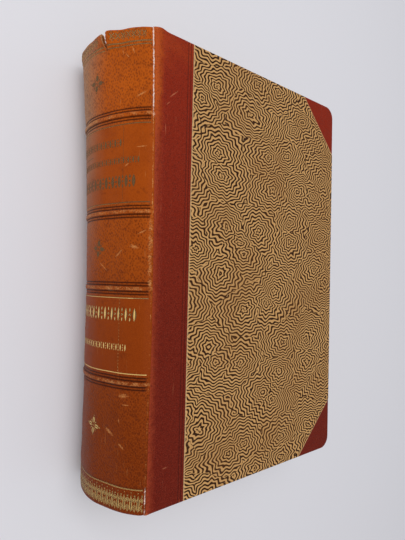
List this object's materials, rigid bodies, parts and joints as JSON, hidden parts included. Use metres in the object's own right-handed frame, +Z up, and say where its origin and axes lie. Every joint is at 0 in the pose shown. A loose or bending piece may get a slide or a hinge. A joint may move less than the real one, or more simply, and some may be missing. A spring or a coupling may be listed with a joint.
{
  "type": "antique half-leather book",
  "caption": "Old hardback book, half bound in worn red-brown leather with patterned paper sides, a rounded tan spine with raised bands, and a torn head cap.",
  "frame": {"origin": "on the outer face of the back cover, in the middle of the book's outline seen from above", "axes": "+X from the spine to the fore edge, +Y from the tail to the head, +Z up, out of the front cover"},
  "size_m": [0.1557, 0.2217, 0.0582],
  "materials": {
    "spine_leather": "worn, pebbled grain, faded to orange tan",
    "side_leather": "worn satin, dark red-brown",
    "patterned_paper": "matt, rubbed at the edges",
    "paper_print": "matt, dark brown print",
    "gilt": "thin worn gold tooling",
    "pages": "aged, matt",
    "endpaper": "aged, matt",
    "board": "grey-brown millboard",
    "spine_card": "thin pasteboard",
    "cloth": "plain linen",
    "endband": "striped silk thread over a core"
  },
  "bodies": {
    "text_block_body": {"text_block": "pages", "sewing_tapes": "cloth", "spine_lining": "cloth", "head_endband": "endband", "tail_endband": "endband", "spine_inlay": "spine_card", "band_strips": "spine_card", "spine_leather": "spine_leather", "gilt_lines": "gilt", "gilt_head_roll": "gilt", "gilt_tail_roll": "gilt", "gilt_fleurons": "gilt", "gilt_title_frames": "gilt", "front_flyleaf": "endpaper", "back_flyleaf": "endpaper"},
    "front_cover": {"front_board": "board", "front_tape_slips": "cloth", "front_infill": "spine_card", "front_side_leather": "side_leather", "front_head_corner": "side_leather", "front_tail_corner": "side_leather", "front_paper_side": "patterned_paper", "front_paper_print": "paper_print", "front_pastedown": "endpaper"},
    "back_cover": {"back_board": "board", "back_tape_slips": "cloth", "back_infill": "spine_card", "back_side_leather": "side_leather", "back_head_corner": "side_leather", "back_tail_corner": "side_leather", "back_paper_side": "patterned_paper", "back_paper_print": "paper_print", "back_pastedown": "endpaper"}
  },
  "joints": [
    {"name": "front_cover_hinge", "type": "hinge", "parent": "text_block_body", "child": "front_cover", "pos_m": [-0.05791, 0, 0.0581], "axis": [0, -1, 0], "range_deg": [0, 175]},
    {"name": "back_cover_hinge", "type": "hinge", "parent": "text_block_body", "child": "back_cover", "pos_m": [-0.05791, 0, -0.0001], "axis": [0, 1, 0], "range_deg": [0, 175]}
  ]
}
